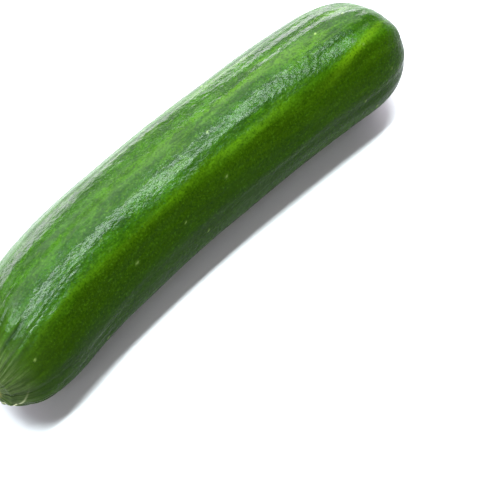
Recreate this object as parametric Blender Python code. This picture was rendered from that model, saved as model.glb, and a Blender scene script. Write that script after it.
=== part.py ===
"""A whole slicing cucumber as picked, lying on its side on a flat surface.

Metres, +Z up. The fruit lies along X, with its stem end at -X and its blossom end at +X. The origin
is on the surface that it lies on, under the middle of its bounding box.
"""

import math

import bmesh
import bpy
import numpy as np

# Size of the fruit, and the share of its radius that it loses towards the ends
LENGTH = 0.235
RADIUS = 0.026
BARREL = 0.028

# The two ends, each a superellipse in side view: how far the taper runs and how full it is
STEM_TAPER = 0.0365
STEM_FULLNESS = 2.06
BLOSSOM_TAPER = 0.033
BLOSSOM_FULLNESS = 2.4

# The bow of the fruit towards +Y, the further turn of the stem end to one side and down, and
# a small one of the blossom end to the same side
BOW = 0.0073
NECK_REACH = 0.070
NECK_SIDE = -0.0068
NECK_DROP = -0.0018
TAIL_REACH = 0.060
TAIL_SIDE = -0.0018

# Cross-section: three lobes, five blunt corners, low ribs with finer ones between, and a slow
# unevenness. A corner, a lobe and a rib share the ridge angle, counted from +Z towards +Y. There the
# finer ribs give way to two narrow crests, which fade towards the blossom end. Each crest has its
# angle from the ridge, its height and its width.
RIDGE_ANGLE = -0.63
LOBES = 3
LOBE_HEIGHT = 0.00035
CORNERS = 5
CORNER_HEIGHT = 0.00032
RIBS = 10
RIB_HEIGHT = 0.00022
RIB_WANDER = 0.35
FINE_RIBS = 22
FINE_RIB_HEIGHT = 0.00011
FINE_RIB_WANDER = 1.1
RIDGE_REACH = 0.40
CRESTS = ((0.0, 0.00024, 0.070), (0.26, 0.00028, 0.090))
RIB_SWAY = 0.06
RIB_SWAY_SIZE = 0.020
WANDER_RATE = 4.1
RIPPLE_SIZES = ((0.060, 0.00040), (0.026, 0.00022))
RIPPLE_WAVES = 14
RIPPLE_STRETCH = 0.45

# Stem end: a drawn-in tip with a round scar in it, a fold round the tip, and creases out of it
TIP_SINK = 0.0016
TIP_SINK_RADIUS = 0.0062
FOLD_RADIUS = 0.0100
FOLD_WIDTH = 0.0012
FOLD_HEIGHT = 0.00055
SCAR_RADIUS = 0.0041
SCAR_LIP = 0.00055
SCAR_LIP_WIDTH = 0.0011
CREASES = 13
CREASE_DEPTH = (0.00030, 0.00075)
CREASE_REACH = (0.010, 0.036)
CREASE_WIDTH = 0.085

# Blossom end: a small round scar in a shallow dip
BLOSSOM_SCAR_RADIUS = 0.0026
BLOSSOM_SCAR_LIP = 0.00035
BLOSSOM_DIP = 0.0007
BLOSSOM_DIP_RADIUS = 0.0050

# Underside: the relief fades out over this many radians, and the belly is flat to this depth,
# which makes a resting spot about 8 mm wide
BELLY_SPREAD = 0.32
REST_FLAT = 0.0006

# Mesh: facets round the fruit, rings along each stretch, and how rings crowd towards the tips
FACETS = 96
STEM_RINGS = 19
BODY_RINGS = 26
BLOSSOM_RINGS = 15
RINGS = STEM_RINGS + BODY_RINGS + BLOSSOM_RINGS
RING_CROWDING = 1.35

SEED = 41


def clear_scene():
    """Removes whatever the open file holds."""
    for old in list(bpy.data.objects):
        bpy.data.objects.remove(old)


def principled(name, colour, roughness):
    """A Principled BSDF material of one colour."""
    material = bpy.data.materials.new(name)
    material.use_nodes = True
    shader = material.node_tree.nodes["Principled BSDF"]
    shader.inputs["Base Color"].default_value = (*colour, 1.0)
    shader.inputs["Roughness"].default_value = roughness
    shader.inputs["Metallic"].default_value = 0.0
    material.diffuse_color = (*colour, 1.0)
    return material


def cap(turn, taper, fullness):
    """Distance from the tip and share of the full radius, for turn 0 at the tip to pi / 2 at the body."""
    distance = taper * (1.0 - np.cos(turn))
    share = (1.0 - np.cos(turn) ** fullness) ** (1.0 / fullness)
    return distance, share


def middle_offset(distance):
    """Place along the fruit: -1 at the stem tip, 0 half way and 1 at the blossom tip."""
    return 2.0 * distance / LENGTH - 1.0


def profile(ring):
    """Distance from the stem tip and plain radius at each ring number, 0 at the stem tip."""
    ring = np.asarray(ring, float)
    stem = np.clip(ring / STEM_RINGS, 0.0, 1.0) ** RING_CROWDING
    blossom = np.clip((RINGS - ring) / BLOSSOM_RINGS, 0.0, 1.0) ** RING_CROWDING
    near, near_share = cap(stem * math.pi / 2.0, STEM_TAPER, STEM_FULLNESS)
    far, far_share = cap(blossom * math.pi / 2.0, BLOSSOM_TAPER, BLOSSOM_FULLNESS)
    body = np.clip((ring - STEM_RINGS) / BODY_RINGS, 0.0, 1.0)
    body_length = LENGTH - STEM_TAPER - BLOSSOM_TAPER
    distance = np.where(ring < RINGS - BLOSSOM_RINGS, near + body * body_length, LENGTH - far)
    return distance, RADIUS * near_share * far_share * (1.0 - BARREL * middle_offset(distance) ** 2)


def profile_normal(ring):
    """The outward direction of the plain profile as parts along the fruit and out from its axis."""
    step = 0.01
    low, high = np.clip(ring - step, 0.0, RINGS), np.clip(ring + step, 0.0, RINGS)
    (x_low, r_low), (x_high, r_high) = profile(low), profile(high)
    along, out = -(r_high - r_low), x_high - x_low
    size = np.hypot(along, out)
    return along / size, out / size


def bell(value, width):
    """1 at value 0, falling off smoothly over width."""
    return np.exp(-((value / width) ** 2))


def smooth_step(value, low, high):
    """0 below low and 1 above high, with a smooth rise between them."""
    t = np.clip((value - low) / (high - low), 0.0, 1.0)
    return t * t * (3.0 - 2.0 * t)


def ripples(points, wavelength, dice):
    """A slow uneven field of about -1 to 1: a sum of plane waves of one wavelength in seeded directions."""
    total = np.zeros(len(points))
    for _ in range(RIPPLE_WAVES):
        direction = dice.normal(size=3)
        direction *= 2.0 * math.pi / (wavelength * np.linalg.norm(direction))
        total += np.sin(points @ direction + dice.uniform(0.0, 2.0 * math.pi))
    return total * math.sqrt(2.0 / RIPPLE_WAVES) / 2.0


def rib_relief(angle, distance):
    """Height of the lobes, corners, ribs and finer ribs, and of the two crests by the ridge."""
    along = WANDER_RATE * distance / LENGTH
    turn = angle - RIDGE_ANGLE
    height = LOBE_HEIGHT * np.cos(LOBES * turn) + CORNER_HEIGHT * np.cos(CORNERS * turn)
    height += RIB_HEIGHT * np.cos(RIBS * turn + RIB_WANDER * np.sin(along + angle))
    crests = sum(tall * bell(turn - place, wide) for place, tall, wide in CRESTS)
    fade = (0.85 + 0.15 * np.sin(3.0 * along)) * (1.0 - 0.8 * smooth_step(distance / LENGTH, 0.55, 0.85))
    return height + crests * fade + FINE_RIB_HEIGHT * fine_ribs(angle, distance)


def fine_ribs(angle, distance):
    """Narrow ribs of about -1 to 1 that wander, come and go, and fade out beside the ridge."""
    along = WANDER_RATE * distance / LENGTH
    turn = angle - RIDGE_ANGLE
    strength = (0.7 + 0.3 * np.sin(2.0 * along + LOBES * angle)) * (1.0 - bell(turn, RIDGE_REACH))
    wander = FINE_RIB_WANDER * np.sin(along - 2.0 * angle)
    return -strength * np.cos(FINE_RIBS * turn + wander)


def section_relief(angle, distance, radius, dice):
    """Height of the ribs and the slow unevenness, fading out towards both tips and the belly."""
    share = radius / RADIUS * (1.0 - bell(np.abs(angle) - math.pi, BELLY_SPREAD))
    points = np.stack(
        [distance * RIPPLE_STRETCH, radius * np.sin(angle), radius * np.cos(angle)], axis=1
    )
    height = np.zeros_like(angle)
    for wavelength, size in RIPPLE_SIZES:
        height += size * ripples(points, wavelength, dice)
    sway = RIB_SWAY * ripples(points, RIB_SWAY_SIZE, dice)
    height += rib_relief(angle + sway, distance)
    return height * share


def crease_relief(angle, distance, radius, dice):
    """Grooves that run out from the stem scar, each with its own place, depth and reach."""
    height = np.zeros_like(angle)
    spacing = 2.0 * math.pi / CREASES
    begin = np.clip((radius - SCAR_RADIUS) / SCAR_RADIUS, 0.0, 1.0)
    for number in range(CREASES):
        centre = spacing * (number + dice.uniform(-0.28, 0.28))
        depth = dice.uniform(*CREASE_DEPTH)
        reach = dice.uniform(*CREASE_REACH)
        off = np.angle(np.exp(1j * (angle - centre)))
        height -= depth * bell(off, CREASE_WIDTH) * np.exp(-distance / reach) * begin
    return height


def stem_relief(distance, radius):
    """Height of the drawn-in tip, the fold round it and the lip of the scar."""
    near_stem = distance < LENGTH / 2.0
    height = -TIP_SINK * bell(radius, TIP_SINK_RADIUS)
    height += FOLD_HEIGHT * bell(radius - FOLD_RADIUS, FOLD_WIDTH)
    height += SCAR_LIP * bell(radius - SCAR_RADIUS, SCAR_LIP_WIDTH)
    return np.where(near_stem, height, 0.0)


def blossom_relief(distance, radius):
    """Height of the shallow dip and the lip of the small scar at the blossom end."""
    near_blossom = distance > LENGTH / 2.0
    height = -BLOSSOM_DIP * bell(radius, BLOSSOM_DIP_RADIUS)
    height += BLOSSOM_SCAR_LIP * bell(radius - BLOSSOM_SCAR_RADIUS, SCAR_LIP_WIDTH)
    return np.where(near_blossom, height, 0.0)


def axis_shift(distance):
    """Sideways and upward shift of the fruit's axis: a bow all along, and a turn near each end."""
    bow = BOW * (1.0 - middle_offset(distance) ** 2)
    neck = np.clip(1.0 - distance / NECK_REACH, 0.0, 1.0) ** 2
    tail = np.clip(1.0 - (LENGTH - distance) / TAIL_REACH, 0.0, 1.0) ** 2
    return bow + NECK_SIDE * neck + TAIL_SIDE * tail, NECK_DROP * neck


def cucumber_points(unit):
    """Moves the points of a unit sphere, poles on its Z axis, on to the skin of the cucumber."""
    dice = np.random.default_rng(SEED)
    ring = np.arccos(np.clip(unit[:, 2], -1.0, 1.0)) / math.pi * RINGS
    angle = np.arctan2(unit[:, 1], unit[:, 0])
    distance, radius = profile(ring)
    along, out = profile_normal(ring)
    height = section_relief(angle, distance, radius, dice)
    height += crease_relief(angle, distance, radius, dice)
    height += stem_relief(distance, radius) + blossom_relief(distance, radius)
    side, lift = axis_shift(distance)
    x = distance + along * height
    y = (radius + out * height) * np.sin(angle) + side
    z = (radius + out * height) * np.cos(angle) + lift
    return np.stack([x, y, z], axis=1)


def set_down(points):
    """Centres the points over the origin, and flattens the lowest strip to rest on the surface."""
    low, high = points.min(axis=0), points.max(axis=0)
    points = points - np.array([(low[0] + high[0]) / 2, (low[1] + high[1]) / 2, low[2] + REST_FLAT])
    points[:, 2] = np.maximum(points[:, 2], 0.0)
    return points


def make_cucumber(collection):
    """The fruit: a sphere primitive whose rings are drawn out along the profile and raised by the relief."""
    skin = principled("cucumber_skin", (0.045, 0.13, 0.012), 0.32)
    scar = principled("dry_scar", (0.22, 0.24, 0.07), 0.8)
    body = bmesh.new()
    bmesh.ops.create_uvsphere(body, u_segments=FACETS, v_segments=RINGS, radius=1.0)
    body.verts.ensure_lookup_table()
    unit = np.array([vert.co for vert in body.verts])
    for vert, place in zip(body.verts, set_down(cucumber_points(unit))):
        vert.co = place
    mesh = bpy.data.meshes.new("cucumber")
    body.to_mesh(mesh)
    body.free()
    mesh.materials.append(skin)
    mesh.materials.append(scar)
    ring_of = np.round(np.arccos(np.clip(unit[:, 2], -1.0, 1.0)) / math.pi * RINGS)
    _, radius_of = profile(ring_of)
    for face in mesh.polygons:
        corners = list(face.vertices)
        limit = SCAR_RADIUS if ring_of[corners].max() < RINGS / 2 else BLOSSOM_SCAR_RADIUS
        face.material_index = int(radius_of[corners].max() <= limit * 1.1)
    mesh.shade_smooth()
    fruit = bpy.data.objects.new("cucumber", mesh)
    collection.objects.link(fruit)
    return fruit


def main():
    clear_scene()
    collection = bpy.data.collections.new("cucumber")
    bpy.context.scene.collection.children.link(collection)
    make_cucumber(collection)


main()
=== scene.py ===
import itertools
import math

import bpy
import numpy as np
from mathutils import Matrix, Vector


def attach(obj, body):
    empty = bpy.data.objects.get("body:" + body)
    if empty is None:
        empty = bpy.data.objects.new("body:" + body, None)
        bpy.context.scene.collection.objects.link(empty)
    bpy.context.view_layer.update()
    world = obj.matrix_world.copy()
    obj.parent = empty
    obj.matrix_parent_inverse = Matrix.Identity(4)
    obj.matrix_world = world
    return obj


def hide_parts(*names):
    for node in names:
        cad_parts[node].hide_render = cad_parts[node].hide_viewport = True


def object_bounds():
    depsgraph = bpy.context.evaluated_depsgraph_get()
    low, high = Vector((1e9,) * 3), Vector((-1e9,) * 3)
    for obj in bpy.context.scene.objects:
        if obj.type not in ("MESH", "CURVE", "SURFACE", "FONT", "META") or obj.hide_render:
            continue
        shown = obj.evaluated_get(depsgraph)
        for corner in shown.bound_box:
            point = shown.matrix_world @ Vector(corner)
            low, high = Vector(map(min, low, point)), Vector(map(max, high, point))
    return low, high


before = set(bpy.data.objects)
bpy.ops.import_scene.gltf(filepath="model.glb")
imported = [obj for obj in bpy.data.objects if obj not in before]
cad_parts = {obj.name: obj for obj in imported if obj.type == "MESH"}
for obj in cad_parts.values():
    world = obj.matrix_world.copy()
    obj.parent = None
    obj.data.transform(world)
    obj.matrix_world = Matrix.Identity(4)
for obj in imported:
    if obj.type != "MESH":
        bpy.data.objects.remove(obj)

# A whole slicing cucumber lying on its side, in metres: X runs from its stem end to its blossom end,
# Y towards the side it bows out to, and Z up. The frame's solid gives the form, and the fruit here
# repeats that form on a finer grid, then adds wrinkles, thin creases, goose bumps and warts.

CAD_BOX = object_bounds()

# Form, with the same values as the frame's solid
LENGTH = 0.235
RADIUS = 0.026
BARREL = 0.028
STEM_TAPER = 0.0365
STEM_FULLNESS = 2.06
BLOSSOM_TAPER = 0.033
BLOSSOM_FULLNESS = 2.4
BOW = 0.0073
NECK_REACH = 0.070
NECK_SIDE = -0.0068
NECK_DROP = -0.0018
TAIL_REACH = 0.060
TAIL_SIDE = -0.0018
RIDGE_ANGLE = -0.63
LOBES = 3
LOBE_HEIGHT = 0.00035
CORNERS = 5
CORNER_HEIGHT = 0.00032
RIBS = 10
RIB_HEIGHT = 0.00022
RIB_WANDER = 0.35
FINE_RIBS = 22
FINE_RIB_HEIGHT = 0.00011
FINE_RIB_WANDER = 1.1
RIDGE_REACH = 0.40
CRESTS = ((0.0, 0.00024, 0.070), (0.26, 0.00028, 0.090))
CREST_FADE = (0.55, 0.85)
RIB_SWAY = 0.06
RIB_SWAY_SIZE = 0.020
WANDER_RATE = 4.1
RIPPLE_SIZES = ((0.060, 0.00040), (0.026, 0.00022))
RIPPLE_WAVES = 14
RIPPLE_STRETCH = 0.45
TIP_SINK = 0.0016
TIP_SINK_RADIUS = 0.0062
FOLD_RADIUS = 0.0100
FOLD_WIDTH = 0.0012
FOLD_HEIGHT = 0.00055
SCAR_RADIUS = 0.0041
SCAR_LIP = 0.00055
SCAR_LIP_WIDTH = 0.0011
CREASES = 13
CREASE_DEPTH = (0.00030, 0.00075)
CREASE_REACH = (0.010, 0.036)
CREASE_WIDTH = 0.085
BLOSSOM_SCAR_RADIUS = 0.0026
BLOSSOM_SCAR_LIP = 0.00035
BLOSSOM_DIP = 0.0007
BLOSSOM_DIP_RADIUS = 0.0050
BELLY_SPREAD = 0.32
REST_FLAT = 0.0006
FORM_SEED = 41

# Finer relief, each with the size of its features and its height; pairs of seeds are for its two noises
WRINKLES_ROUND = 5.5
WRINKLE_LENGTH = 0.014
WRINKLE_HEIGHT = 0.00038
WRINKLE_REACH = 0.020
WRINKLE_SHARPNESS = 2.2
WRINKLE_SEEDS = (3, 4)
FINE_CREASES = 17
FINE_CREASE_DEPTH = (0.00008, 0.00028)
FINE_CREASE_REACH = (0.012, 0.040)
FINE_CREASE_WIDTH = 0.030
FINE_CREASE_SEED = 5
LONG_CREASE_ANGLE = -0.21
LONG_CREASE_DEPTH = 0.00045
LONG_CREASE_MIDDLE = 0.014
LONG_CREASE_LENGTH = 0.0085
GRAIN_ACROSS = 0.0050
GRAIN_STRETCH = 0.40
GRAIN_HEIGHT = 0.00006
GRAIN_BEGIN = (0.004, 0.016)
GRAIN_SEEDS = (5, 6)
GOOSE_BUMP_SIZE = 0.0017
GOOSE_BUMP_HEIGHT = 0.000045
GOOSE_BUMP_BEGIN = (0.002, 0.008)
GOOSE_BUMP_STEM_GAIN = 1.2
GOOSE_BUMP_STEM_REACH = 0.020
GOOSE_BUMP_SEEDS = (8, 9)
SCAR_CORK_SIZE = 0.0011
SCAR_CORK_HEIGHT = 0.00030
SCAR_CORK_SEEDS = (10, 11)
WARTS = 56
WART_RADIUS = (0.0005, 0.0009)
WART_HEIGHT = (0.00010, 0.00026)
WART_SPAN = (0.06, 0.95)
WART_TIP_SHARE = 0.55
WART_SEED = 7

# Marks on the skin: the crest, partly paler rib skin and partly a painted highlight along the ridge; a
# painted glint in an arc by the stem; a pale patch near the blossom end; painted shade in the creases; and
# scars
CREST_PALE_AND_HIGHLIGHT_WIDTH = 0.070
GLINT_ARC_CENTRE = (-0.0035, 0.0045)
GLINT_ARC_RADIUS = 0.0123
GLINT_ARC_WIDTH = 0.00032
GLINT_ARC_ANGLE = -2.20
GLINT_ARC_SPREAD = 0.42
PALE_PATCH_ANGLE = -0.56
PALE_PATCH_SLANT = 8.7
PALE_PATCH_WIDTH = 0.085
PALE_PATCH_MIDDLE = 0.205
PALE_PATCH_LENGTH = 0.016
CREASE_SHADE_DEPTH = 0.0005
STEM_SCAR_EDGE = (0.0040, 0.0062)
BLOSSOM_SCAR_EDGE = (0.0020, 0.0036)

# Whole numbers that scatter the lattice noise: one for each axis, one for its seed and one to mix them
AXIS_FACTORS = (73856093, 19349663, 83492791)
SEED_FACTOR = 2654435761
MIX_FACTOR = 1274126177
LOW_32_BITS = 0xFFFFFFFF
LOW_16_BITS = 0xFFFF

# Grid: points round the fruit, and rings along each stretch
FACETS = 256
STEM_RINGS = 120
BODY_RINGS = 176
BLOSSOM_RINGS = 78
RINGS = STEM_RINGS + BODY_RINGS + BLOSSOM_RINGS
RING_CROWDING = 1.35

# Camera: above the stem end, looking along and down on the fruit
CAMERA_AZIMUTH = -47.8
CAMERA_ELEVATION = 54.0
CAMERA_DISTANCE = 0.722
CAMERA_LENS = 130.2
CAMERA_SENSOR = 36.0
AIM_RIGHT = 0.0260
AIM_DOWN = 0.0264

# Colours of the skin and the table, in linear red, green and blue
DEEP_GREEN = (0.0085, 0.031, 0.0005, 1.0)
LEAF_GREEN = (0.0175, 0.062, 0.001, 1.0)
PALE_GREEN = (0.058, 0.135, 0.002, 1.0)
FLECK_GREEN = (0.006, 0.022, 0.001, 1.0)
PAINTED_SHADE_OLIVE = (0.0135, 0.031, 0.0003, 1.0)
DARK_SPECKLE = (0.0045, 0.018, 0.0002, 1.0)
LIGHT_SPECKLE = (0.040, 0.105, 0.005, 1.0)
PATCH_GREEN = (0.085, 0.170, 0.003, 1.0)
STEM_OLIVE = (0.028, 0.056, 0.006, 1.0)
RAY_BUFF = (0.100, 0.130, 0.055, 1.0)
CREASE_SHADE_GREEN = (0.006, 0.014, 0.001, 1.0)
LONG_CREASE_SHADE_GREEN = (0.004, 0.014, 0.001, 1.0)
WART_CREAM = (0.300, 0.400, 0.120, 1.0)
BELLY_GREEN = (0.075, 0.140, 0.018, 1.0)
GLINT_ARC_CREAM = (0.700, 0.720, 0.420, 1.0)
DARK_CORK = (0.060, 0.066, 0.018, 1.0)
LIGHT_CORK = (0.220, 0.200, 0.070, 1.0)
BLOSSOM_CORK = (0.170, 0.130, 0.055, 1.0)
TABLE_WHITE = (0.58, 0.57, 0.60, 1.0)

# Noise on the skin: how often it repeats across (twice) and along the whole fruit, or per metre. A depth
# is how far a bump reaches, in metres.
BROAD_PATTERN = (3.2, 3.2, 9.0)
STRAND_PATTERN = (4.6, 4.6, 4.6)
FLECK_PATTERN = (22.0, 22.0, 60.0)
BLOTCH_PATTERN = (7.0, 7.0, 24.0)
RAY_PATTERN = (22.0, 22.0, 14.0)
WAX_PATTERN = (9.0, 9.0, 16.0)
MOTTLE_SCALE = 620.0
SPECKLE_SCALE = 1050.0
CORK_SCALE = 1400.0
PORE_SCALE = 1300.0
PORE_DEPTH = 0.00020
SKIN_CELL_SCALE = 760.0
SKIN_CELL_STRETCH = (0.6, 1.0, 1.0)
SKIN_CELL_DEPTH = 0.00024
WAX_CELL_DEPTH = 0.00018

# Lights, each with its name, place, size along and across, power and colour
WHITE = (1.0, 1.0, 1.0)
LIGHTS = (
    ("key", (0.45, 0.84, 1.16), (2.6, 0.80), 52.0, WHITE),
    ("strip", (0.08, 0.06, 1.20), (1.24, 0.15), 42.0, (0.88, 1.0, 0.98)),
    ("stem_light", (-0.58, 0.50, 1.10), (0.44, 0.30), 11.0, (0.84, 1.0, 1.0)),
    ("window", (0.75, 1.60, 0.21), (3.0, 0.46), 110.0, (0.92, 0.82, 1.0)),
    ("fill", (-1.30, -0.75, 0.95), (1.2, 1.2), 16.0, WHITE),
)
ROOM_LIGHT = 0.20
TABLE_HALF = 3.0
TABLE_ROUGHNESS = 0.6


def cap(turn, taper, fullness):
    """Superellipse tip: distance = taper (1 - cos turn), share = (1 - cos^n turn)^(1/n), n the fullness."""
    distance = taper * (1.0 - np.cos(turn))
    share = (1.0 - np.cos(turn) ** fullness) ** (1.0 / fullness)
    return distance, share


def middle_offset(distance):
    """Place along the fruit: -1 at the stem tip, 0 half way and 1 at the blossom tip."""
    return 2.0 * distance / LENGTH - 1.0


def profile(ring):
    """Distance from the stem tip and plain radius at each ring, from a cap, a body and a cap. The radius is
    the full one times both caps' shares, less the barrel: 1 - barrel * offset^2 from the middle."""
    ring = np.asarray(ring, float)
    stem = np.clip(ring / STEM_RINGS, 0.0, 1.0) ** RING_CROWDING
    blossom = np.clip((RINGS - ring) / BLOSSOM_RINGS, 0.0, 1.0) ** RING_CROWDING
    near, near_share = cap(stem * math.pi / 2.0, STEM_TAPER, STEM_FULLNESS)
    far, far_share = cap(blossom * math.pi / 2.0, BLOSSOM_TAPER, BLOSSOM_FULLNESS)
    body = np.clip((ring - STEM_RINGS) / BODY_RINGS, 0.0, 1.0)
    body_length = LENGTH - STEM_TAPER - BLOSSOM_TAPER
    distance = np.where(ring < RINGS - BLOSSOM_RINGS, near + body * body_length, LENGTH - far)
    return distance, RADIUS * near_share * far_share * (1.0 - BARREL * middle_offset(distance) ** 2)


def profile_normal(ring):
    """Outward direction of the plain profile: its slope between two near rings, turned a right angle."""
    step = 0.05
    low, high = np.clip(ring - step, 0.0, RINGS), np.clip(ring + step, 0.0, RINGS)
    (x_low, r_low), (x_high, r_high) = profile(low), profile(high)
    along, out = -(r_high - r_low), x_high - x_low
    size = np.hypot(along, out)
    return along / size, out / size


def bell(value, width):
    """exp(-(value / width)^2): 1 at value 0, falling off smoothly."""
    return np.exp(-((value / width) ** 2))


def smooth_step(value, low, high):
    """0 below low, 1 above high, and 3t^2 - 2t^3 between them."""
    t = np.clip((value - low) / (high - low), 0.0, 1.0)
    return t * t * (3.0 - 2.0 * t)


def ripples(points, wavelength, dice):
    """Slow uneven field: a sum of sine waves of one wavelength in seeded directions."""
    total = np.zeros(points.shape[:-1])
    for _ in range(RIPPLE_WAVES):
        direction = dice.normal(size=3)
        direction *= 2.0 * math.pi / (wavelength * np.linalg.norm(direction))
        total += np.sin(points @ direction + dice.uniform(0.0, 2.0 * math.pi))
    return total * math.sqrt(2.0 / RIPPLE_WAVES) / 2.0


def lattice_noise(points, seed):
    """Random field of -1 to 1: seeded values at whole-number corners, blended by 3t^2 - 2t^3."""
    base = np.floor(points).astype(np.int64)
    part = points - base
    part = part * part * (3.0 - 2.0 * part)
    total = np.zeros(points.shape[:-1])
    for corner in itertools.product((0, 1), repeat=3):
        cell = (base + np.array(corner)) * np.array(AXIS_FACTORS)
        mixed = cell[..., 0] ^ cell[..., 1] ^ cell[..., 2] ^ (seed * SEED_FACTOR)
        mixed = ((mixed ^ (mixed >> 13)) * MIX_FACTOR) & LOW_32_BITS
        value = (mixed ^ (mixed >> 16)) & LOW_16_BITS
        weight = np.prod(np.where(corner, part, 1.0 - part), axis=-1)
        total += weight * (2.0 * value / LOW_16_BITS - 1.0)
    return total


def rib_relief(angle, distance):
    """Cosines of the angle from the ridge: 3 lobes, 5 corners and 10 ribs that drift; then the narrow ribs,
    and a bell for each of the two crests by the ridge, fading towards the blossom end."""
    along = WANDER_RATE * distance / LENGTH
    turn = angle - RIDGE_ANGLE
    height = LOBE_HEIGHT * np.cos(LOBES * turn) + CORNER_HEIGHT * np.cos(CORNERS * turn)
    height += RIB_HEIGHT * np.cos(RIBS * turn + RIB_WANDER * np.sin(along + angle))
    crests = sum(tall * bell(turn - place, wide) for place, tall, wide in CRESTS)
    fade = (0.85 + 0.15 * np.sin(3.0 * along)) * (1.0 - 0.8 * smooth_step(distance / LENGTH, *CREST_FADE))
    return height + crests * fade + FINE_RIB_HEIGHT * fine_ribs(angle, distance)


def fine_ribs(angle, distance):
    """22 narrow ribs: a cosine that drifts and changes strength, and fades by a bell beside the ridge."""
    along = WANDER_RATE * distance / LENGTH
    turn = angle - RIDGE_ANGLE
    strength = (0.7 + 0.3 * np.sin(2.0 * along + LOBES * angle)) * (1.0 - bell(turn, RIDGE_REACH))
    wander = FINE_RIB_WANDER * np.sin(along - 2.0 * angle)
    return -strength * np.cos(FINE_RIBS * turn + wander)


def section_relief(angle, distance, radius, dice):
    """The ribs and two sizes of ripple, faded towards the tips and the belly, and the swayed angle."""
    share = radius / RADIUS * (1.0 - bell(np.abs(angle) - math.pi, BELLY_SPREAD))
    points = np.stack([distance * RIPPLE_STRETCH, radius * np.sin(angle), radius * np.cos(angle)], axis=-1)
    height = np.zeros_like(angle)
    for wavelength, size in RIPPLE_SIZES:
        height += size * ripples(points, wavelength, dice)
    swayed = angle + RIB_SWAY * ripples(points, RIB_SWAY_SIZE, dice)
    height += rib_relief(swayed, distance)
    return height * share, swayed


def crease_relief(angle, distance, radius, dice):
    """Grooves out of the stem scar: bells across the angle, fading as exp(-distance / reach)."""
    height = np.zeros_like(angle)
    spacing = 2.0 * math.pi / CREASES
    begin = np.clip((radius - SCAR_RADIUS) / SCAR_RADIUS, 0.0, 1.0)
    for number in range(CREASES):
        centre = spacing * (number + dice.uniform(-0.28, 0.28))
        depth = dice.uniform(*CREASE_DEPTH)
        reach = dice.uniform(*CREASE_REACH)
        off = np.angle(np.exp(1j * (angle - centre)))
        height -= depth * bell(off, CREASE_WIDTH) * np.exp(-distance / reach) * begin
    return height


def stem_relief(distance, radius):
    """Bells of the radius at the stem end: the sunk tip, the fold round it and the scar's lip."""
    height = -TIP_SINK * bell(radius, TIP_SINK_RADIUS)
    height += FOLD_HEIGHT * bell(radius - FOLD_RADIUS, FOLD_WIDTH)
    height += SCAR_LIP * bell(radius - SCAR_RADIUS, SCAR_LIP_WIDTH)
    return np.where(distance < LENGTH / 2.0, height, 0.0)


def blossom_relief(distance, radius):
    """Bells of the radius at the blossom end: the shallow dip and the small scar's lip."""
    height = -BLOSSOM_DIP * bell(radius, BLOSSOM_DIP_RADIUS)
    height += BLOSSOM_SCAR_LIP * bell(radius - BLOSSOM_SCAR_RADIUS, SCAR_LIP_WIDTH)
    return np.where(distance > LENGTH / 2.0, height, 0.0)


def wrinkle_relief(angle, distance, radius):
    """Fine puckers round the stem: 1 less the size of a noise of the direction from the axis and of the
    distance, at two sizes, fading as exp(-distance / reach)."""
    across = (np.cos(angle) * WRINKLES_ROUND, np.sin(angle) * WRINKLES_ROUND)
    place = np.stack([*across, distance / WRINKLE_LENGTH], axis=-1)
    ridged = 1.0 - WRINKLE_SHARPNESS * np.abs(lattice_noise(place, WRINKLE_SEEDS[0]))
    finer = 1.0 - WRINKLE_SHARPNESS * np.abs(lattice_noise(place * 2.3, WRINKLE_SEEDS[1]))
    begin = smooth_step(radius, SCAR_RADIUS * 0.8, SCAR_RADIUS * 1.9)
    return -WRINKLE_HEIGHT * (ridged + 0.5 * finer) * np.exp(-distance / WRINKLE_REACH) * begin


def long_crease(angle, distance):
    """How far a point is in the one longer crease: a bell across the angle times a bell along."""
    across = bell(angle - LONG_CREASE_ANGLE, FINE_CREASE_WIDTH)
    return across * bell(distance - LONG_CREASE_MIDDLE, LONG_CREASE_LENGTH)


def fine_crease_relief(angle, distance, radius):
    """Thin creases out of the stem scar: bells across the angle, fading as exp(-distance / reach), and the
    longer one besides."""
    dice = np.random.default_rng(FINE_CREASE_SEED)
    begin = smooth_step(radius, SCAR_RADIUS, SCAR_RADIUS * 2.0)
    height = np.zeros_like(angle)
    for _ in range(FINE_CREASES):
        centre = dice.uniform(-math.pi, math.pi)
        depth = dice.uniform(*FINE_CREASE_DEPTH)
        reach = dice.uniform(*FINE_CREASE_REACH)
        off = np.angle(np.exp(1j * (angle - centre)))
        height -= depth * bell(off, FINE_CREASE_WIDTH) * np.exp(-distance / reach)
    return (height - LONG_CREASE_DEPTH * long_crease(angle, distance)) * begin


def painted_glint_arc(around, angle):
    """A thin painted glint on the stem end, a bright line where the fold's lower edge would catch light: part
    of a circle set off from the scar.
    """
    away = np.hypot(around[0] - GLINT_ARC_CENTRE[0], around[1] - GLINT_ARC_CENTRE[1])
    return bell(away - GLINT_ARC_RADIUS, GLINT_ARC_WIDTH) * bell(angle - GLINT_ARC_ANGLE, GLINT_ARC_SPREAD)


def pale_patch(angle, distance):
    """A pale patch near the blossom end: a bell across a slanting line times a bell along."""
    line = PALE_PATCH_ANGLE + PALE_PATCH_SLANT * (distance - PALE_PATCH_MIDDLE)
    return bell(angle - line, PALE_PATCH_WIDTH) * bell(distance - PALE_PATCH_MIDDLE, PALE_PATCH_LENGTH)


def grain_relief(around, distance):
    """Long low streaks of relief: noise stretched along the fruit, at two sizes."""
    place = np.stack([around[0], around[1], distance * GRAIN_STRETCH], axis=-1) / GRAIN_ACROSS
    coarse, fine = GRAIN_SEEDS
    return GRAIN_HEIGHT * (lattice_noise(place, coarse) + 0.7 * lattice_noise(place * 2.1, fine))


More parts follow.
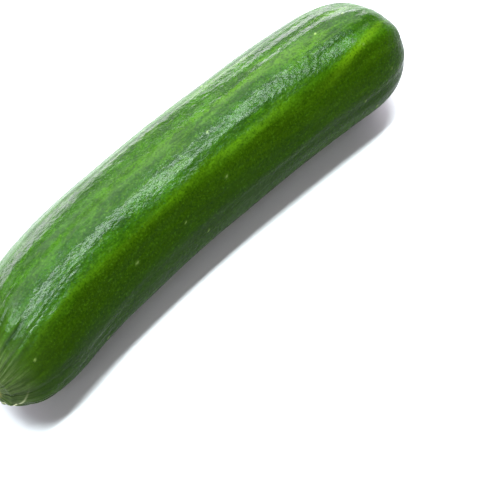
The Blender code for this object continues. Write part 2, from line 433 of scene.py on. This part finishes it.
def goose_bump_relief(around, distance, radius):
    """Small even bumps all over: noise at two sizes, higher by exp(-distance / reach) near the stem."""
    place = np.stack([around[0], around[1], distance], axis=-1) / GOOSE_BUMP_SIZE
    size = 1.0 + GOOSE_BUMP_STEM_GAIN * np.exp(-distance / GOOSE_BUMP_STEM_REACH)
    size = GOOSE_BUMP_HEIGHT * size * smooth_step(radius, *GOOSE_BUMP_BEGIN)
    coarse, fine = GOOSE_BUMP_SEEDS
    return size * (lattice_noise(place, coarse) + 0.6 * lattice_noise(place * 1.9, fine))


def cork_relief(around, distance, radius):
    """Rough dry tissue in the stem scar: noise at two sizes inside the scar's rim."""
    place = np.stack([around[0], around[1], distance], axis=-1) / SCAR_CORK_SIZE
    inside = (1.0 - smooth_step(radius, SCAR_RADIUS * 0.8, SCAR_RADIUS * 1.25)) * (distance < LENGTH / 2.0)
    coarse, fine = SCAR_CORK_SEEDS
    rough = lattice_noise(place, coarse) + 0.5 * lattice_noise(place * 2.2, fine)
    return SCAR_CORK_HEIGHT * rough * inside


def wart_fields(angle, distance):
    """Warts at seeded places: a sum of height bell(d, radius), and a mask of their pale tips."""
    dice = np.random.default_rng(WART_SEED)
    height, tips = np.zeros_like(angle), np.zeros_like(angle)
    for _ in range(WARTS):
        centre = dice.uniform(-math.pi, math.pi)
        place = LENGTH * dice.uniform(*WART_SPAN)
        wide = dice.uniform(*WART_RADIUS)
        tall = dice.uniform(*WART_HEIGHT)
        off = np.angle(np.exp(1j * (angle - centre))) * RADIUS
        far = np.hypot(off, distance - place)
        height += tall * bell(far, wide)
        tips = np.maximum(tips, bell(far, wide * WART_TIP_SHARE))
    return height, tips


def axis_shift(distance):
    """Sideways and upward shift of the axis: a parabola all along, and a squared turn near each end."""
    bow = BOW * (1.0 - middle_offset(distance) ** 2)
    neck = np.clip(1.0 - distance / NECK_REACH, 0.0, 1.0) ** 2
    tail = np.clip(1.0 - (LENGTH - distance) / TAIL_REACH, 0.0, 1.0) ** 2
    return bow + NECK_SIDE * neck + TAIL_SIDE * tail, NECK_DROP * neck


def into_box(points, box, flat):
    """Sets the points down flat on Z 0 and eases each axis so that they just fill the frame's box."""
    low, high = points.min(axis=(0, 1)), points.max(axis=(0, 1))
    low = low + np.array([0.0, 0.0, flat])
    box_low, box_high = np.array(box[0]), np.array(box[1])
    points = box_low + (points - low) * (box_high - box_low) / (high - low)
    points[..., 2] = np.maximum(points[..., 2], 0.0)
    return points


def fruit_grid():
    """The skin as a grid of ring by angle: the plain profile moved out along its normal by the relief."""
    dice = np.random.default_rng(FORM_SEED)
    turns = np.linspace(-math.pi, math.pi, FACETS, endpoint=False)
    ring, angle = np.meshgrid(np.arange(RINGS + 1, dtype=float), turns, indexing="ij")
    distance, radius = profile(ring)
    along, out = profile_normal(ring)
    around = (radius * np.sin(angle), radius * np.cos(angle))
    height, swayed = section_relief(angle, distance, radius, dice)
    creases = crease_relief(angle, distance, radius, dice)
    wrinkles = wrinkle_relief(angle, distance, radius) + fine_crease_relief(swayed, distance, radius)
    belly = 1.0 - bell(np.abs(angle) - math.pi, BELLY_SPREAD) * (distance > STEM_TAPER / 3.0)
    warts, tips = wart_fields(angle, distance)
    fine = grain_relief(around, distance) * smooth_step(radius, *GRAIN_BEGIN)
    fine += goose_bump_relief(around, distance, radius) + warts + wrinkles
    height += creases + stem_relief(distance, radius) + blossom_relief(distance, radius)
    height += fine * belly + cork_relief(around, distance, radius)
    side, lift = axis_shift(distance)
    x = distance + along * height
    y = (radius + out * height) * np.sin(angle) + side
    z = (radius + out * height) * np.cos(angle) + lift
    points = into_box(np.stack([x, y, z], axis=-1), CAD_BOX, REST_FLAT)
    stem_side, fade = distance < LENGTH / 2.0, smooth_step(distance / LENGTH, *CREST_FADE)
    marks = {
        "skin_place": np.stack([np.cos(angle), np.sin(angle), distance / LENGTH], axis=-1),
        # Painted shade in the creases and wrinkles, darker where they sink deeper
        "crease_shade": np.clip(-(creases + wrinkles) / CREASE_SHADE_DEPTH, 0.0, 1.0),
        "long_crease": long_crease(swayed, distance),
        "wart_tip": tips * belly,
        "painted_glint_arc": painted_glint_arc(around, angle) * (distance < STEM_TAPER / 2.0),
        "pale_patch": pale_patch(swayed, distance),
        "stem_scar": (1.0 - smooth_step(radius, *STEM_SCAR_EDGE)) * stem_side,
        "blossom_scar": (1.0 - smooth_step(radius, *BLOSSOM_SCAR_EDGE)) * ~stem_side,
        "belly": 1.0 - belly,
        "crest_pale_and_highlight": bell(swayed - RIDGE_ANGLE, CREST_PALE_AND_HIGHLIGHT_WIDTH) * (1.0 - fade),
    }
    return points, marks


def ring_mesh(name, points, marks):
    """A closed mesh from rings of points: quads between rings, and triangles to one point at each tip."""
    rings, facets = points.shape[:2]
    inner = points[1:-1].reshape(-1, 3)
    vertices = np.concatenate([points[:1, 0], inner, points[-1:, 0]])
    first, last = 0, len(vertices) - 1
    row = np.arange(rings - 2)[:, None] * facets + 1
    column = np.arange(facets)[None, :]
    here, beside = row + column, row + (column + 1) % facets
    quads = np.stack([here[:-1], here[1:], beside[1:], beside[:-1]], axis=-1).reshape(-1, 4)
    start = np.stack([np.full(facets, first), here[0], beside[0]], axis=-1)
    end = np.stack([here[-1], np.full(facets, last), beside[-1]], axis=-1)
    mesh = bpy.data.meshes.new(name)
    mesh.from_pydata(vertices.tolist(), [], start.tolist() + quads.tolist() + end.tolist())
    for label, values in marks.items():
        flat = np.concatenate([values[:1, 0], values[1:-1].reshape(-1, *values.shape[2:]), values[-1:, 0]])
        vector = values.ndim == 3
        layer = mesh.attributes.new(label, "FLOAT_VECTOR" if vector else "FLOAT", "POINT")
        layer.data.foreach_set("vector" if vector else "value", flat.ravel().astype(np.float32))
    mesh.update()
    mesh.shade_smooth()
    return mesh


class Shader:
    """Lays nodes into a material and links them, one call a node."""

    def __init__(self, name):
        self.material = bpy.data.materials.new(name)
        self.material.use_nodes = True
        self.tree = self.material.node_tree
        self.surface = self.tree.nodes["Principled BSDF"]

    def feed(self, node, inputs):
        """Sets each named or numbered socket to a value, or links it where the value is a socket."""
        for key, value in inputs.items():
            socket = node.inputs[key]
            if isinstance(value, bpy.types.NodeSocket):
                self.tree.links.new(value, socket)
            else:
                socket.default_value = value

    def node(self, kind, inputs, output=0, **settings):
        """A node of one kind with its settings and inputs, as its output socket."""
        made = self.tree.nodes.new(kind)
        for key, value in settings.items():
            setattr(made, key, value)
        self.feed(made, inputs)
        return made.outputs[output]

    def mark(self, label, output="Fac"):
        """The value of one of the mesh's attributes."""
        made = self.tree.nodes.new("ShaderNodeAttribute")
        made.attribute_name = label
        return made.outputs[output]

    def noise(self, place, scale, detail=2.0, roughness=0.5):
        """Noise of about 0 to 1 at a place."""
        inputs = {"Vector": place, "Scale": scale, "Detail": detail, "Roughness": roughness}
        return self.node("ShaderNodeTexNoise", inputs)

    def stretch(self, place, factors):
        """A place with each of its axes multiplied."""
        return self.node("ShaderNodeVectorMath", {0: place, 1: factors}, operation="MULTIPLY")

    def step(self, value, low, high, start=0.0, end=1.0):
        """Goes smoothly from start to end as the value goes from low to high."""
        inputs = {"Value": value, "From Min": low, "From Max": high, "To Min": start, "To Max": end}
        return self.node("ShaderNodeMapRange", inputs, interpolation_type="SMOOTHSTEP")

    def times(self, first, second):
        """The product of two values."""
        return self.node("ShaderNodeMath", {0: first, 1: second}, operation="MULTIPLY")

    def plus(self, first, second):
        """The sum of two values."""
        return self.node("ShaderNodeMath", {0: first, 1: second}, operation="ADD")

    def blend(self, share, under, over):
        """Colour that goes from under to over with the share."""
        inputs = {"Factor": share, 6: under, 7: over}
        return self.node("ShaderNodeMix", inputs, output=2, data_type="RGBA")

    def bump(self, height, distance, strength=1.0, normal=None):
        """A bump of a height field that is 0 to 1, distance deep."""
        inputs = {"Height": height, "Distance": distance, "Strength": strength}
        if normal is not None:
            inputs["Normal"] = normal
        return self.node("ShaderNodeBump", inputs)


def skin_colour(skin, place, spot, side, strands):
    """The skin's colour in layers, each blended over the last by a smooth step of a noise or by a mark."""
    along = skin.node("ShaderNodeSeparateXYZ", {0: place}, output=2)

    # Broad patches of two greens, and pale strands that grow towards the blossom end
    broad = skin.noise(skin.stretch(place, BROAD_PATTERN), 1.0, 4.0, 0.6)
    colour = skin.blend(skin.step(broad, 0.34, 0.66), DEEP_GREEN, LEAF_GREEN)
    streak = skin.times(skin.step(strands, 0.48, 0.64), skin.step(along, 0.15, 0.95, 0.15, 1.0))
    colour = skin.blend(skin.times(streak, 0.48), colour, PALE_GREEN)

    # Dark flecks and blotches, and a fine pale mottle
    flecks = skin.noise(skin.stretch(place, FLECK_PATTERN), 1.0, 2.0, 0.6)
    colour = skin.blend(skin.step(flecks, 0.58, 0.74, 0.0, 0.6), colour, FLECK_GREEN)
    blotch = skin.noise(skin.stretch(place, BLOTCH_PATTERN), 1.0, 4.0, 0.65)
    colour = skin.blend(skin.step(blotch, 0.48, 0.60, 0.0, 0.55), colour, FLECK_GREEN)
    mottle = skin.noise(spot, MOTTLE_SCALE, 3.0, 0.7)
    colour = skin.blend(skin.step(mottle, 0.52, 0.78, 0.0, 0.35), colour, PALE_GREEN)

    # The pale crest, partly paler rib skin and partly a painted highlight along the ridge; painted shade as a
    # darker olive on the side below it; and the patch near the blossom end
    # Partly paler rib skin and partly a painted highlight: a pale band along the ridge's crest
    crest_pale_and_highlight = skin.times(skin.mark("crest_pale_and_highlight"), skin.step(mottle, 0.30, 0.60, 0.45, 1.0))
    colour = skin.blend(skin.times(crest_pale_and_highlight, 0.45), colour, PALE_GREEN)
    # Painted shade: the side below the ridge is blended to a darker olive, as if it lay in shade
    colour = skin.blend(skin.times(side, 0.8), colour, PAINTED_SHADE_OLIVE)
    patch = skin.times(skin.mark("pale_patch"), skin.step(strands, 0.40, 0.56, 0.45, 0.85))
    colour = skin.blend(patch, colour, PATCH_GREEN)

    # Dark and light speckles all over
    speckle = skin.noise(spot, SPECKLE_SCALE, 3.0, 0.7)
    colour = skin.blend(skin.step(speckle, 0.50, 0.34, 0.0, 0.60), colour, DARK_SPECKLE)
    colour = skin.blend(skin.step(speckle, 0.54, 0.72, 0.0, 0.50), colour, LIGHT_SPECKLE)
    return end_colours(skin, place, spot, along, colour)


def end_colours(skin, place, spot, along, colour):
    """Olive and pale rays towards the stem tip, then painted shade in the creases, warts, the belly, a
    painted glint in the arc, and the two scars.
    """
    colour = skin.blend(skin.step(along, 0.14, 0.0, 0.0, 0.60), colour, STEM_OLIVE)
    rays = skin.noise(skin.stretch(place, RAY_PATTERN), 1.0, 4.0, 0.7)
    tip = skin.times(skin.step(along, 0.060, 0.004), skin.step(rays, 0.36, 0.62, 0.10, 1.0))
    colour = skin.blend(skin.times(tip, 0.8), colour, RAY_BUFF)
    cork = skin.blend(skin.noise(spot, CORK_SCALE, 3.0), DARK_CORK, LIGHT_CORK)
    layers = (
        # Painted shade: creases and wrinkles darkened by how deep they sink
        ("crease_shade", 0.6, CREASE_SHADE_GREEN),
        # Painted shade: the long crease darkened further
        ("long_crease", 0.8, LONG_CREASE_SHADE_GREEN),
        ("wart_tip", 0.5, WART_CREAM),
        ("belly", 0.35, BELLY_GREEN),
        # Painted glint: a thin bright line where the fold's lower edge would catch light
        ("painted_glint_arc", 1.0, GLINT_ARC_CREAM),
        ("stem_scar", 1.0, cork),
        ("blossom_scar", 1.0, BLOSSOM_CORK),
    )
    for label, share, over in layers:
        colour = skin.blend(skin.times(skin.mark(label), share), colour, over)
    return colour


def skin_material():
    """Waxy cucumber skin: layered colour, and a coat and roughness that change with a noise of the wax."""
    skin = Shader("waxy_cucumber_skin")
    place = skin.mark("skin_place", "Vector")
    spot = skin.node("ShaderNodeTexCoord", {}, output=3)
    strands = skin.noise(skin.stretch(place, STRAND_PATTERN), 1.0, 4.0, 0.6)
    aside = skin.plus(skin.node("ShaderNodeSeparateXYZ", {0: place}, output=1), skin.times(strands, 0.5))
    # The side below the ridge: its colour gets painted shade, and its coat of wax is thinner
    side = skin.step(aside, -0.18, -0.46)

    # Wax: a thinner coat on the side, and a rough dry scar
    wax = skin.noise(skin.stretch(place, WAX_PATTERN), 1.0, 4.0, 0.65)
    waxy = skin.plus(skin.times(side, -0.75), wax)
    roughness = skin.plus(skin.step(wax, 0.35, 0.68, 0.16, 0.32), skin.times(skin.mark("stem_scar"), 0.45))
    pores = skin.bump(skin.noise(spot, PORE_SCALE, 2.0), PORE_DEPTH, 0.8)
    cells = skin.noise(skin.stretch(spot, SKIN_CELL_STRETCH), SKIN_CELL_SCALE, 2.0, 0.5)
    skin.feed(skin.surface, {
        "Base Color": skin_colour(skin, place, spot, side, strands),
        "Roughness": roughness,
        "Normal": skin.bump(cells, SKIN_CELL_DEPTH, 0.8, pores),
        "Specular IOR Level": 0.015,
        "Specular Tint": (0.20, 0.95, 0.90, 1.0),
        "Coat Weight": skin.step(waxy, 0.05, 0.60, 0.0, 0.20),
        "Coat Roughness": 0.22,
        "Coat Normal": skin.bump(cells, WAX_CELL_DEPTH, 0.8),
        "Sheen Weight": 0.08,
        "Sheen Roughness": 0.16,
        "Sheen Tint": (0.90, 0.85, 1.0, 1.0),
    })
    return skin.material


def make_fruit():
    """The whole fruit as one closed mesh, in place of the frame's solid."""
    points, marks = fruit_grid()
    mesh = ring_mesh("cucumber_fruit", points, marks)
    mesh.materials.append(skin_material())
    fruit = bpy.data.objects.new("cucumber_fruit", mesh)
    bpy.context.scene.collection.objects.link(fruit)
    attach(fruit, "root")
    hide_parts("cucumber")
    return fruit


def view_axes(azimuth, elevation):
    """Right, up and forward of a level camera that looks down from an elevation, azimuth 0 along +Y."""
    turn, rise = math.radians(azimuth), math.radians(elevation)
    back = Vector((math.sin(turn) * math.cos(rise), -math.cos(turn) * math.cos(rise), math.sin(rise)))
    right = Vector((0.0, 0.0, 1.0)).cross(back).normalized()
    return right, back.cross(right), -back


def make_camera():
    """The camera: a set distance from a point right of and below the middle of the fruit."""
    right, up, forward = view_axes(CAMERA_AZIMUTH, CAMERA_ELEVATION)
    aim = Vector((0.0, 0.0, RADIUS)) + right * AIM_RIGHT - up * AIM_DOWN
    data = bpy.data.cameras.new("camera")
    data.lens = CAMERA_LENS
    data.sensor_width = CAMERA_SENSOR
    data.clip_start, data.clip_end = 0.01, 20.0
    camera = bpy.data.objects.new("camera", data)
    camera.rotation_mode = "QUATERNION"
    camera.location = aim - forward * CAMERA_DISTANCE
    camera.rotation_quaternion = forward.to_track_quat("-Z", "Y")
    bpy.context.scene.collection.objects.link(camera)
    bpy.context.scene.camera = camera


def make_floor():
    """A wide white table top under the fruit."""
    half = TABLE_HALF
    corners = [(-half, -half, 0.0), (half, -half, 0.0), (half, half, 0.0), (-half, half, 0.0)]
    mesh = bpy.data.meshes.new("floor")
    mesh.from_pydata(corners, [], [(0, 1, 2, 3)])
    table = Shader("white_table")
    table.feed(table.surface, {"Base Color": TABLE_WHITE, "Roughness": TABLE_ROUGHNESS})
    mesh.materials.append(table.material)
    floor = bpy.data.objects.new("floor", mesh)
    bpy.context.scene.collection.objects.link(floor)


def make_light(name, place, size, power, colour):
    """A rectangular soft light at a place, turned to the fruit, with its first side along the fruit."""
    back = (Vector(place) - Vector((0.0, 0.0, 0.02))).normalized()
    across = back.cross(Vector((1.0, 0.0, 0.0))).normalized()
    turned = Matrix((across.cross(back), across, back)).transposed()
    data = bpy.data.lights.new(name, "AREA")
    data.shape = "RECTANGLE"
    data.size, data.size_y = size
    data.energy = power
    data.color = colour
    light = bpy.data.objects.new(name, data)
    light.location = place
    light.rotation_mode = "QUATERNION"
    light.rotation_quaternion = turned.to_quaternion()
    bpy.context.scene.collection.objects.link(light)


def make_lights():
    """A large soft key over the far side, a strip for the highlight along the ridge, a small light for the
    one near the stem, a low window behind for the pale rim, a fill for the shadow, and a dim room."""
    for light in LIGHTS:
        make_light(*light)
    world = bpy.data.worlds.new("room")
    world.use_nodes = True
    world.node_tree.nodes["Background"].inputs["Color"].default_value = (*WHITE, 1.0)
    world.node_tree.nodes["Background"].inputs["Strength"].default_value = ROOM_LIGHT
    bpy.context.scene.world = world


make_fruit()
make_camera()
make_floor()
make_lights()
bpy.context.scene.view_settings.view_transform = "Standard"
